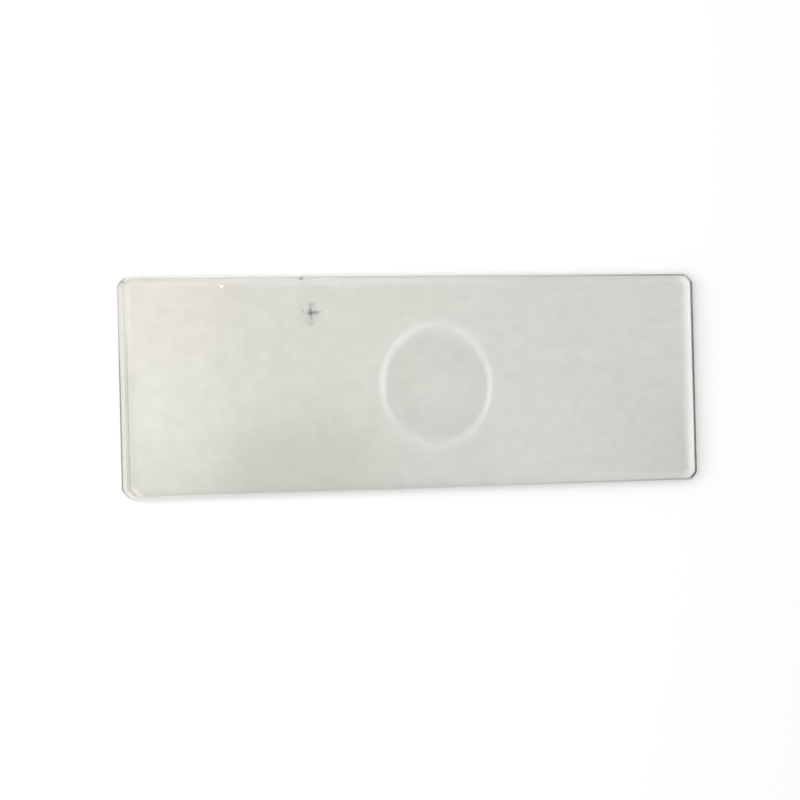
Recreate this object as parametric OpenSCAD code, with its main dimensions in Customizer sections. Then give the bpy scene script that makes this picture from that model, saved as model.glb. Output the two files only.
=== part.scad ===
// Microscope slide with one shallow well. It is a single plate of clear
// glass, cut to the common laboratory size. Its corners are clipped at 45
// degrees, the ends of each clip are eased, and a bevel is ground along every
// edge. A round well is sunk in the upper face, a little to the right of the
// middle, to hold a drop of liquid under a cover glass. The rim of the well is
// rounded over into the face. The origin is the centre of the underside. X runs
// along the slide, Y across it and Z up, and the well opens upwards.

/* [Plate] */
// Length of the slide
slide_l = 76.2; // [60:0.1:100]
// Width of the slide
slide_w = 25.4; // [24:0.1:52]
// Thickness of the glass
slide_t = 1.3; // [1.1:0.05:4]

/* [Corners and edges] */
// Length that a clipped corner takes off each side
corner_cut = 0.85; // [0.6:0.05:3]
// Radius to which both ends of each clip are eased, as one narrow flat
corner_ease = 1; // [0.2:0.1:1.2]
// Width of the bevel ground along every edge, across the face and down the side
edge_bevel = 0.2; // [0.05:0.05:0.3]

/* [Well] */
// Diameter at which the bowl of the well would meet the face, before its rim is rounded
well_d = 14.5; // [8:0.5:18]
// Depth of the well at its middle
well_depth = 0.5; // [0.3:0.05:0.6]
// Width of the rounded rim between the bowl and the face
rim_w = 1.2; // [0.6:0.1:2]
// Faint angle that polishing leaves where the bowl meets the rounded rim
rim_break = 1; // [0.8:0.1:1.6]
// Place of the well along the slide, from its middle
well_x = 2.2; // [-20:0.1:20]
// Place of the well across the slide, from its middle
well_y = -0.5; // [-2:0.1:2]

/* [Edge nick] */
// Radius of the shell-shaped nick in the top of the rear edge
nick_r = 0.4; // [0.35:0.05:1.5]
// Depth of the nick below the face
nick_depth = 0.3; // [0.25:0.05:0.35]
// Place of the nick along the slide, from its middle
nick_x = -15; // [-20:1:20]

/* [Hidden] */

// Half the slide, and half of what a clip leaves of it
half_l = slide_l / 2;
half_w = slide_w / 2;
kept_l = half_l - corner_cut;
kept_w = half_w - corner_cut;
// Turn of an easing flat from the side it runs into, half that of the clip
ease_turn = 22.5;
// Depth to which an easing flat of the given radius cuts into its corner
ease_depth = corner_ease * (1 / cos(ease_turn) - 1);
// Length of the bars that the plate is cut from, longer than its diagonal
bar_l = 2 * (slide_l + slide_w);

// The bowl is part of a sphere of this radius, with its centre above the slide
bowl_r = (pow(well_d / 2, 2) + pow(well_depth, 2)) / (2 * well_depth);
bowl_z = slide_t - well_depth + bowl_r;

// The rim is an arc from rim_inner on the bowl to rim_outer on the face. Where
// it leaves the bowl it is less steep than the bowl by the faint break
rim_inner = (well_d - rim_w) / 2;
rim_outer = (well_d + rim_w) / 2;
rim_drop = slide_t - bowl_height(rim_inner);
rim_slope = atan(rim_drop / rim_w);
rim_turn = 2 * (asin(rim_inner / bowl_r) - rim_break - rim_slope);
rim_r = norm([rim_w, rim_drop]) / (2 * sin(rim_turn / 2));
// Centre of that arc, square below the middle of its chord
rim_x = well_d / 2 + rim_r * cos(rim_turn / 2) * sin(rim_slope);
rim_z = slide_t - rim_drop / 2 - rim_r * cos(rim_turn / 2) * cos(rim_slope);
// Bowl and rim overlap in a thin lens. The cut over the rim starts at its thickest place
rim_lap = rim_break * PI / 180 / (1 / bowl_r + 1 / rim_r);
// How far a cut reaches past the face that it opens through
overshoot = 1;

// Reach of the point x, y from the middle, square to a bar at the given turn
function reach(x, y, turn) = x * sin(turn) + y * cos(turn);
// Height of the bowl and of the rim's arc at a distance from the well's axis
function bowl_height(r) = bowl_z - sqrt(pow(bowl_r, 2) - pow(r, 2));
function rim_height(r) = rim_z + sqrt(pow(rim_r, 2) - pow(r - rim_x, 2));

// A bar along X with the section of the plate, bevelled on both of its sides
module bevelled_bar(width) {
    side = width / 2;
    flat = side - edge_bevel;
    rotate([90, 0, 90])
        linear_extrude(height = bar_l, center = true)
            polygon([
                [-flat, 0], [flat, 0],
                [side, edge_bevel], [side, slide_t - edge_bevel],
                [flat, slide_t], [-flat, slide_t],
                [-side, slide_t - edge_bevel], [-side, edge_bevel]
            ]);
}

// Two bars that cross at equal and opposite turns, each as wide as twice its reach
module crossed_bars(turn, side) {
    intersection() {
        rotate(turn) bevelled_bar(2 * side);
        rotate(-turn) bevelled_bar(2 * side);
    }
}

// The plate is what all the bars have in common: one for the long edges, one
// for the ends, two for the clips and four for their eased ends, so every bevel
// meets the next in a mitre
module plate() {
    intersection() {
        bevelled_bar(slide_w);
        rotate(90) bevelled_bar(slide_l);
        crossed_bars(45, reach(half_l, kept_w, 45));
        crossed_bars(ease_turn, reach(kept_l, half_w, ease_turn) - ease_depth);
        crossed_bars(90 - ease_turn, reach(half_l, kept_w, 90 - ease_turn) - ease_depth);
    }
}

// Section of the bowl, from its axis outwards
module bowl_section() {
    intersection() {
        translate([0, bowl_z]) circle(r = bowl_r, $fn = 360);
        translate([0, slide_t - well_depth - overshoot])
            square([rim_outer, well_depth + 2 * overshoot]);
    }
}

// Section of what is ground away above the rounded rim. Its lower corners lie
// between the arcs and between arc and face, so that only the arc is left
module rim_section() {
    inner = rim_inner - rim_lap;
    difference() {
        polygon([
            [inner, (bowl_height(inner) + rim_height(inner)) / 2],
            [rim_x, (slide_t + rim_height(rim_x)) / 2],
            [rim_x, slide_t + overshoot], [inner, slide_t + overshoot]
        ]);
        translate([rim_x, rim_z]) circle(r = rim_r, $fn = 720);
    }
}

module well() {
    translate([well_x, well_y, 0])
        rotate_extrude($fn = 180) {
            bowl_section();
            rim_section();
        }
}

// A shell-shaped flake struck off the top of the rear edge
module nick() {
    translate([nick_x, slide_w / 2, slide_t + nick_r - nick_depth])
        sphere(r = nick_r, $fn = 48);
}

module glass_slide() {
    color([0.85, 0.88, 0.84, 0.5])
        difference() {
            plate();
            well();
            nick();
        }
}

glass_slide();
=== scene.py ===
import math

import bmesh
import bpy
from mathutils import Matrix, Vector


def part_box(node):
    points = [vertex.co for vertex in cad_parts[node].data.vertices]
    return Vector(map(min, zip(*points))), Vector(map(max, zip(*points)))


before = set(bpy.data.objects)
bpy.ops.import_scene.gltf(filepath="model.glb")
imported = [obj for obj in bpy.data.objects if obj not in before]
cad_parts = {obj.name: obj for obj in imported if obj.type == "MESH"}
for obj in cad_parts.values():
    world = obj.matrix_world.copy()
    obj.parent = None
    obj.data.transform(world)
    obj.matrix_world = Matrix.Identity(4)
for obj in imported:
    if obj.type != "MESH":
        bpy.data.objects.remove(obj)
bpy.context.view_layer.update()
scene = bpy.context.scene
scene.view_settings.view_transform = "Standard"


# ---------------------------------------------------------------- the slide
# One plate of clear soda-lime glass with a well ground and polished into its
# upper face. Its edges are ground matt, all but the right end, which is as it
# broke from the cut. The faces carry the film, dust and specks of use.

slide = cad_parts["glass_slide"]
slide_low, slide_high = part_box("glass_slide")
half_l, half_w, face_z = slide_high
clip_reach = max(v.co.x + v.co.y for v in slide.data.vertices)


def middle(values):
    return (min(values) + max(values)) / 2


# The only points a little below the face and in from the ends are those of the
# well, which lie clear of the sides too, and of the nick, along the rear edge
deepest = 0.0006
rim_radius = 0.00724
sunk = [v.co for v in slide.data.vertices if face_z - deepest < v.co.z < face_z - 1e-6]
sunk = [p for p in sunk if half_l - abs(p.x) > 0.002]
in_well = [p for p in sunk if half_w - abs(p.y) > 0.002]
in_nick = [p for p in sunk if half_w - p.y < 0.001]
well_x = middle([p.x for p in in_well])
well_y = middle([p.y for p in in_well])
nick_x = middle([p.x for p in in_nick])

glass = bpy.data.materials.new("clear_glass")
glass.use_nodes = True
tree = glass.node_tree
tree.nodes.remove(tree.nodes["Principled BSDF"])


def add(kind, sockets=None, **settings):
    """Adds a node to the tree in hand, with its settings and its sockets."""
    made = tree.nodes.new(kind)
    for name, value in settings.items():
        setattr(made, name, value)
    for name, value in (sockets or {}).items():
        if isinstance(value, bpy.types.NodeSocket):
            tree.links.new(value, made.inputs[name])
        else:
            made.inputs[name].default_value = value
    return made


def calc(operation, a, b=0.0, c=0.0):
    return add("ShaderNodeMath", {0: a, 1: b, 2: c}, operation=operation).outputs[0]


def times(first, *others):
    for other in others:
        first = calc("MULTIPLY", first, other)
    return first


def greatest(first, *others):
    for other in others:
        first = calc("MAXIMUM", first, other)
    return first


def above(value, limit):
    """1 where the value is over the limit, and 0 elsewhere."""
    return calc("GREATER_THAN", value, limit)


def below(value, limit):
    return calc("LESS_THAN", value, limit)


def less(share):
    """What a share from 0 to 1 leaves of the whole."""
    return calc("SUBTRACT", 1.0, share)


def ease(value, start, end, low=0.0, high=1.0):
    """Goes from low to high, softly, as value goes from start to end."""
    ends = {"From Min": start, "From Max": end, "To Min": low, "To Max": high}
    return add("ShaderNodeMapRange", {"Value": value, **ends}, interpolation_type="SMOOTHSTEP").outputs[0]


def blend(amount, a, b):
    """A colour between a and b, each a socket or red, green and blue."""
    a, b = (c if isinstance(c, bpy.types.NodeSocket) else (*c, 1.0) for c in (a, b))
    return add("ShaderNodeMix", {"Factor": amount, "A": a, "B": b}, data_type="RGBA").outputs["Result"]


def vector(operation, sockets, output=0):
    return add("ShaderNodeVectorMath", sockets, operation=operation).outputs[output]


def noise(scale, detail, at, roughness=0.5):
    sockets = {"Scale": scale, "Detail": detail, "Roughness": roughness, "Vector": at}
    return add("ShaderNodeTexNoise", sockets).outputs[0]


def apart(x, y):
    """Distance, seen from above, from the upright line through x, y."""
    return vector("DISTANCE", {0: flat_place, 1: (x, y, 0.0)}, "Value")


place = add("ShaderNodeTexCoord").outputs["Object"]
along, across, height = add("ShaderNodeSeparateXYZ", {0: place}).outputs
flat_place = add("ShaderNodeCombineXYZ", {"X": along, "Y": across}).outputs[0]
normal = add("ShaderNodeNewGeometry").outputs["True Normal"]
normal_x, normal_y, normal_z = add("ShaderNodeSeparateXYZ", {0: normal}).outputs

# Faces, walls, bevels and clips are told apart by how they face
upright = calc("ABSOLUTE", normal_z)
out_x = calc("ABSOLUTE", normal_x)
out_y = calc("ABSOLUTE", normal_y)
upper = above(height, face_z / 2)
face = above(upright, 0.97)
upper_face = times(upper, face)
edge = below(upright, 0.95)
wall = below(upright, 0.3)
bevel = times(edge, above(upright, 0.3))
upper_bevel = times(bevel, upper)
lower_bevel = calc("SUBTRACT", bevel, upper_bevel)
turned = calc("DIVIDE", calc("MINIMUM", out_x, out_y), greatest(out_x, out_y, 0.01))
clip = times(edge, ease(turned, 0.2, 0.9))

# The right end is a clean break, and so is the clip at its rear
front = below(across, 0.0)
right_half = above(along, 0.0)
cut_end = times(wall, above(along, half_l - 0.00005))
clean_clip = times(clip, right_half, less(front))
ground = times(greatest(calc("SUBTRACT", wall, cut_end), upper_bevel), less(clean_clip))

# Distances in from the edges
left_gap = calc("ADD", half_l, along)
right_gap = calc("SUBTRACT", half_l, along)
rear_gap = calc("SUBTRACT", half_w, across)
front_gap = calc("ADD", half_w, across)
from_middle = calc("ADD", calc("ABSOLUTE", along), calc("ABSOLUTE", across))
corner_gap = times(calc("SUBTRACT", clip_reach, from_middle), math.sqrt(0.5))

# The rounded rim of the well is painted as a pale ring: painted light standing in for the light the curved
# rim gathers, with a faint haze. The painted ring is strongest and narrowest to left and right, and weakest
# at the front. It is laid on both faces, further right on the underside by 0.3 of the depth, where the
# underside itself is flat. That is the slant of this script's camera through the glass, so the two are seen
# as one
slanted = calc("MULTIPLY_ADD", calc("SUBTRACT", face_z, height), -0.3, along)
ring_place = add("ShaderNodeCombineXYZ", {"X": slanted, "Y": across}).outputs[0]
from_axis = vector("DISTANCE", {0: ring_place, 1: (well_x, well_y, 0.0)}, "Value")
ring_side = calc("DIVIDE", calc("SUBTRACT", along, well_x), from_axis)
ring_rear = calc("DIVIDE", calc("SUBTRACT", across, well_y), from_axis)
side_on = times(ring_side, ring_side)
slant = greatest(times(ring_side, ring_rear), 0.0)
ring_width = ease(side_on, 0.0, 1.0, 0.0011, 0.00072)
from_ring = calc("ABSOLUTE", calc("SUBTRACT", from_axis, rim_radius))
ring = times(
    face, ease(from_ring, 0.0, ring_width, 1.0, 0.0),
    calc("MULTIPLY_ADD", side_on, 0.62, 0.4),
    calc("MULTIPLY_ADD", ring_rear, 0.18, 0.93),
    calc("MULTIPLY_ADD", slant, -0.6, 1.0),
    ease(noise(260.0, 3.0, place), 0.25, 0.7, 0.85, 1.0))
rim_haze = times(ring, upper)
ring = times(ring, ease(upper, 0.0, 1.0, 0.42, 0.95))

# Film of use on both faces: soft smears, and finer streaks where it was wiped
wiped = add("ShaderNodeMapping", {
    "Vector": place, "Rotation": (0.0, 0.0, 0.35), "Scale": (1.0, 3.5, 1.0)}).outputs[0]
smear = ease(noise(520.0, 4.0, place, 0.65), 0.35, 0.7)
streak = ease(noise(300.0, 5.0, wiped, 0.65), 0.42, 0.72)
film = calc("MULTIPLY_ADD", streak, 0.35, times(smear, 0.65))

# Painted light: the glass is painted palest and warmest at the left end, where the light comes from, and
# greyer to the right
tint = blend(ease(across, 0.01, 0.0), (0.842, 0.822, 0.783), (0.838, 0.838, 0.794))
tint = blend(ease(along, -0.037, -0.018), tint, (0.781, 0.782, 0.751))
tint = blend(ease(along, -0.01, 0.035), tint, (0.759, 0.769, 0.746))

# Painted shade: it is darker in four soft patches near the front
right_corner_shade = times(ease(along, 0.02, half_l), ease(across, 0.006, -half_w))
tint = blend(right_corner_shade, tint, (0.716, 0.726, 0.701))
tint = blend(ease(apart(-0.014, -0.0145), 0.018, 0.001), tint, (0.713, 0.716, 0.685))
tint = blend(ease(apart(0.0032, -0.0105), 0.012, 0.001), tint, (0.749, 0.755, 0.73))
shade_left_of_well = times(
    ease(along, 0.002, -0.016), ease(across, -0.002, -half_w), ease(along, -0.029, -0.02, 0.4, 1.0))
tint = blend(shade_left_of_well, tint, (0.708, 0.71, 0.68))
tint = vector("SCALE", {0: tint, "Scale": calc("MULTIPLY_ADD", film, 0.09, 0.967)})

# Painted light: near the edges it is paler, most of all at the right end, where light turned back inside the
# glass brightens the sheet beneath
pale_left = ease(
    left_gap, ease(across, 0.0, 0.006, 0.0013, 0.0017), ease(across, 0.0, 0.006, 0.0002, 0.0006))
pale_right = ease(calc("MINIMUM", right_gap, corner_gap), 0.0016, 0.0004)
pale_rear = times(
    ease(rear_gap, 0.0013, 0.0002),
    ease(along, 0.02, -0.005, 0.35, 0.7), ease(along, -0.037, -0.027, 0.6, 1.0))
pale_front = times(ease(front_gap, 0.0015, 0.0003), ease(along, 0.014, 0.026, 0.0, 0.25))
pale_tint = blend(ease(along, -0.034, -0.02), (1.0, 0.985, 0.95), (1.0, 1.0, 0.98))
tint = blend(greatest(pale_left, pale_rear, pale_right, pale_front), tint, pale_tint)
# Painted light: the pale ring of the rim
tint = blend(ring, tint, (1.0, 1.0, 0.985))

# A painted reflection: a thin dark copy of the edge just inside the left end, from near its rear round the
# clip at the front
line_in = 0.00056
from_line = calc("ABSOLUTE", calc("SUBTRACT", calc("MINIMUM", left_gap, corner_gap), line_in))
left_line = times(
    upper_face, ease(from_line, 0.00002, 0.00016, 1.0, 0.0),
    ease(across, 0.0075, 0.0035, 0.0, 0.85), less(right_half))
tint = blend(left_line, tint, (0.5, 0.49, 0.475))


def speck(x, y, reach_x, reach_y, strength):
    """A soft, ragged mark centred on x, y of the upper face."""
    off_x = calc("DIVIDE", calc("SUBTRACT", along, x), reach_x)
    off_y = calc("DIVIDE", calc("SUBTRACT", across, y), reach_y)
    off = calc("SQRT", calc("MULTIPLY_ADD", off_x, off_x, times(off_y, off_y)))
    ragged = times(off, calc("MULTIPLY_ADD", noise(1900.0, 2.0, place), 1.4, 0.3))
    return times(upper_face, ease(ragged, 0.3, 1.3, strength, 0.0))


# Specks stuck to the upper face: a dark fleck with fainter bits about it, one
# pale grain, and a little fine pale dust
dirt = greatest(
    speck(-0.01416, 0.00838, 0.00042, 0.00046, 0.95),
    speck(-0.0139, 0.00843, 0.00085, 0.00034, 0.68),
    speck(-0.0141, 0.00788, 0.00024, 0.0005, 0.5),
    speck(-0.01418, 0.00907, 0.00026, 0.00065, 0.35),
    speck(-0.01387, 0.00943, 0.00045, 0.0003, 0.2),
    speck(-0.01425, 0.00713, 0.0005, 0.0004, 0.28),
    speck(-0.01523, 0.0086, 0.0002, 0.00028, 0.35))
grit = speck(-0.02553, 0.01152, 0.00038, 0.00034, 1.0)
dust_cell = add("ShaderNodeTexVoronoi", {"Vector": place, "Scale": 330.0})
dust = times(
    below(dust_cell.outputs["Distance"], 0.03), upper_face, above(noise(45.0, 1.0, place), 0.5))
tint = blend(dirt, tint, (0.12, 0.12, 0.11))
tint = blend(greatest(grit, times(dust, 0.7)), tint, (1.0, 1.0, 0.97))

# Ground walls are a warm white. Their foot is painted darker, a painted shade where the slide meets the
# table, darkest towards the front. The upper part of the right end is painted dark, a painted shade for the
# dark line along that edge
foot_shade = times(ground, ease(height, 0.00042, 0.0008, 1.0, 0.0))
foot_shade_tint = blend(ease(across, 0.0075, 0.001), (0.66, 0.65, 0.635), (0.28, 0.275, 0.265))
end_shade = times(cut_end, ease(height, 0.0005, 0.00062))
tint = blend(wall, tint, (0.9, 0.885, 0.855))
tint = blend(foot_shade, tint, foot_shade_tint)
tint = blend(end_shade, tint, (0.12, 0.12, 0.115))
tint = blend(lower_bevel, tint, (0.99, 0.99, 0.98))

# Painted shade: the upper bevel darkens towards the right end, turned from the light, where it is nearly
# black
bevel_tint = blend(ease(along, -0.035, 0.005), (1.0, 0.985, 0.95), (0.78, 0.775, 0.75))
right_bevel_tint = blend(front, (0.36, 0.36, 0.35), (0.48, 0.48, 0.465))
bevel_tint = blend(ease(along, 0.012, half_l), bevel_tint, right_bevel_tint)
bevel_tint = blend(below(left_gap, 0.00025), bevel_tint, (0.68, 0.67, 0.645))
bevel_tint = blend(below(right_gap, 0.00035), bevel_tint, (0.05, 0.05, 0.05))
tint = blend(upper_bevel, tint, bevel_tint)

# Each clip has its own look: grey towards the end at the rear left, pale at the front left, clear at the rear
# right. At the front right the clip and a narrow band of the face beside it are painted near black, a painted
# shade on the corner turned from the light
rear_left_tint = blend(ease(left_gap, 0.0003, 0.0007), (0.4, 0.395, 0.38), (0.75, 0.74, 0.72))
left_clip_tint = blend(front, rear_left_tint, (0.86, 0.845, 0.815))
right_clip_tint = blend(front, (0.95, 0.95, 0.93), (0.03, 0.03, 0.03))
tint = blend(times(clip, less(lower_bevel)), tint, blend(right_half, left_clip_tint, right_clip_tint))
front_right_shade = times(upper_face, front, right_half, ease(corner_gap, 0.00048, 0.00028))
tint = blend(front_right_shade, tint, (0.03, 0.03, 0.03))

# The nick is a bare break with a darker spot at its inner edge. Its colour is painted paler on its left,
# which lies in shade, and darker on its right, where the light falls
nick_reach = 0.00042
nick = below(apart(nick_x, half_w), nick_reach)
nick_tint = blend(ease(along, nick_x - 0.0003, nick_x + 0.0002), (1.0, 1.0, 0.97), (0.68, 0.68, 0.66))
nick_dark_spot = times(upper, ease(apart(nick_x - 0.00006, half_w - 0.0002), 0.00006, 0.00022, 1.0, 0.0))
tint = blend(nick, tint, nick_tint)
tint = blend(nick_dark_spot, tint, (0.45, 0.45, 0.43))

# Haze, dirt and ground surfaces let less light straight through
# Painted light: near the left end the upper face gets a faint haze, which shows it paler over the shadow that
# the left wall casts beneath
left_haze_light = times(ease(left_gap, 0.0018, 0.0003), ease(across, 0.001, 0.006, 0.1, 0.23), upper_face)
clearness = calc("SUBTRACT", less(times(rim_haze, 0.2)), times(film, 0.012))
clearness = times(clearness, ease(dirt, 0.0, 1.0, 1.0, 0.45))
clearness = times(clearness, ease(greatest(grit, times(dust, 0.8)), 0.0, 1.0, 1.0, 0.02))
clearness = calc("SUBTRACT", clearness, left_haze_light)
clearness = times(clearness, ease(ground, 0.0, 1.0, 1.0, 0.35))
clearness = times(clearness, ease(end_shade, 0.0, 1.0, 1.0, 0.25))
clearness = times(clearness, less(times(nick, 0.8)))

matt = greatest(
    calc("MULTIPLY_ADD", film, 0.05, times(rim_haze, 0.15)),
    times(greatest(ground, end_shade, lower_bevel), 0.5),
    times(nick, 0.25))

# Grinding leaves a fine grain on walls and bevels
grain = add("ShaderNodeBump", {
    "Strength": times(greatest(ground, bevel), 0.5), "Distance": 0.00004,
    "Height": noise(9000.0, 2.0, place)}).outputs[0]

shader = add("ShaderNodeBsdfPrincipled", {
    "Base Color": tint, "Roughness": matt, "Transmission Weight": clearness, "IOR": 1.52, "Normal": grain})
tree.links.new(shader.outputs[0], tree.nodes["Material Output"].inputs["Surface"])
for slot in slide.material_slots:
    slot.material = glass


# ------------------------------------------------------------- the work table
# A plain white sheet that the slide lies on. It is a matt surface, with a
# little light of its own only where an eye, a mirror or clear glass sees it.

table_reach = 3.0
table_gap = 0.0001
sheet = bpy.data.materials.new("white_sheet")
sheet.use_nodes = True
tree = sheet.node_tree
tree.nodes.remove(tree.nodes["Principled BSDF"])


def first_look():
    """1 for what is seen directly, in a reflection or through the glass."""
    path = add("ShaderNodeLightPath")
    seen = greatest(
        path.outputs["Is Camera Ray"], path.outputs["Is Glossy Ray"], path.outputs["Is Transmission Ray"])
    return times(seen, below(path.outputs["Diffuse Depth"], 0.5))


matt_white = add("ShaderNodeBsdfDiffuse", {"Color": (0.92, 0.92, 0.92, 1.0)})
from_slide = vector("LENGTH", {0: add("ShaderNodeTexCoord").outputs["Object"]}, "Value")
lift = add("ShaderNodeEmission", {
    "Color": (1.0, 1.0, 1.0, 1.0), "Strength": times(first_look(), ease(from_slide, 0.15, 0.5, 0.25, 0.55))})
lifted_white = add("ShaderNodeAddShader", {0: matt_white.outputs[0], 1: lift.outputs[0]})
tree.links.new(lifted_white.outputs[0], tree.nodes["Material Output"].inputs["Surface"])

flat = bmesh.new()
bmesh.ops.create_grid(flat, x_segments=1, y_segments=1, size=table_reach)
table_mesh = bpy.data.meshes.new("table")
flat.to_mesh(table_mesh)
flat.free()
table_mesh.materials.append(sheet)
table = bpy.data.objects.new("table", table_mesh)
table.location.z = slide_low[2] - table_gap
scene.collection.objects.link(table)


# ------------------------------------------------------------------ the light
# A room lit from the left, as by a window: a soft box near the rear left corner
# of the slide, and an even light from all round that fades rightward.

room = bpy.data.worlds.new("room")
scene.world = room
room.use_nodes = True
tree = room.node_tree
tree.nodes.remove(tree.nodes["Background"])
window = Vector((-1.0, 0.2, 0.5)).normalized()
toward_window = vector("DOT_PRODUCT", {0: add("ShaderNodeTexCoord").outputs["Generated"], 1: window}, "Value")
daylight = ease(toward_window, -0.6, 0.9, 0.4, 0.68)
level = add("ShaderNodeMix", {"Factor": first_look(), "A": daylight, "B": 1.0}, data_type="FLOAT")
sky = add("ShaderNodeBackground", {"Color": (1.0, 1.0, 1.0, 1.0), "Strength": level.outputs["Result"]})
tree.links.new(sky.outputs[0], tree.nodes["World Output"].inputs["Surface"])

box_size = 0.3
box_light = 3.2
soft_box = bpy.data.lights.new("soft_box", "AREA")
soft_box.size = box_size
soft_box.energy = box_light * math.pi * box_size ** 2
soft_box.color = (1.0, 0.97, 0.92)
lamp = bpy.data.objects.new("soft_box", soft_box)
lamp.location = (-0.304, 0.043, 0.223)
lamp.rotation_euler = lamp.location.to_track_quat("Z", "Y").to_euler()
scene.collection.objects.link(lamp)

# Light that has come through the glass reaches the table as sharp as it falls
scene.cycles.blur_glossy = 0.0


# ----------------------------------------------------------------- the camera
# It looks down on the slide from its left end, 26 degrees off upright.

camera = bpy.data.cameras.new("camera")
camera.sensor_width = 36.0
camera.lens = 165.2
camera.clip_start = 0.01
camera.clip_end = 20.0
eye_right = Vector((0.89463, -0.02525, 0.44609))
eye_up = Vector((0.02031, 0.99967, 0.01587))
stand = Matrix((eye_right, eye_up, eye_right.cross(eye_up))).transposed().to_4x4()
stand.translation = Vector((-0.19713, -0.00432, 0.39098))
eye = bpy.data.objects.new("camera", camera)
eye.matrix_world = stand
scene.collection.objects.link(eye)
scene.camera = eye
